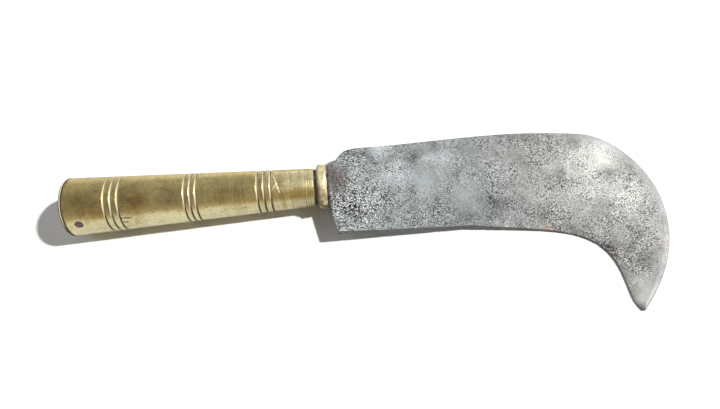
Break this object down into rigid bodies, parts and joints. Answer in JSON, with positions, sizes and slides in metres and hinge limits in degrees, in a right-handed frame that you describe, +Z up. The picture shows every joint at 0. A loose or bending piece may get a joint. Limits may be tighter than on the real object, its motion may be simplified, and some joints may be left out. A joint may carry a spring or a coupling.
{
  "type": "billhook",
  "caption": "One-hand billhook with a broad steel blade that ends in a hooked beak, and a tapered brass handle with bands of turned grooves.",
  "frame": {"origin": "on the surface that the tool lies on, under the middle of its overall length and width", "axes": "+X along the tool from the butt to the beak, +Z up from the surface that it lies on; the hook's tip points to -Y"},
  "size_m": [0.3268, 0.1164, 0.0323],
  "materials": {
    "blade_steel": "old forged steel, pitted and grey, with worn bright patches",
    "collar_brass": "worn cast brass, rubbed bright, uneven",
    "handle_brass": "aged turned brass with olive and brown tarnish",
    "core_wood": "plain turned wood, hidden",
    "pin_iron": "dark rusted iron"
  },
  "bodies": {
    "root": {"blade": "blade_steel", "collar": "collar_brass", "handle_sleeve": "handle_brass", "handle_core": "core_wood", "butt_cap": "handle_brass", "butt_pin": "pin_iron"}
  },
  "joints": []
}
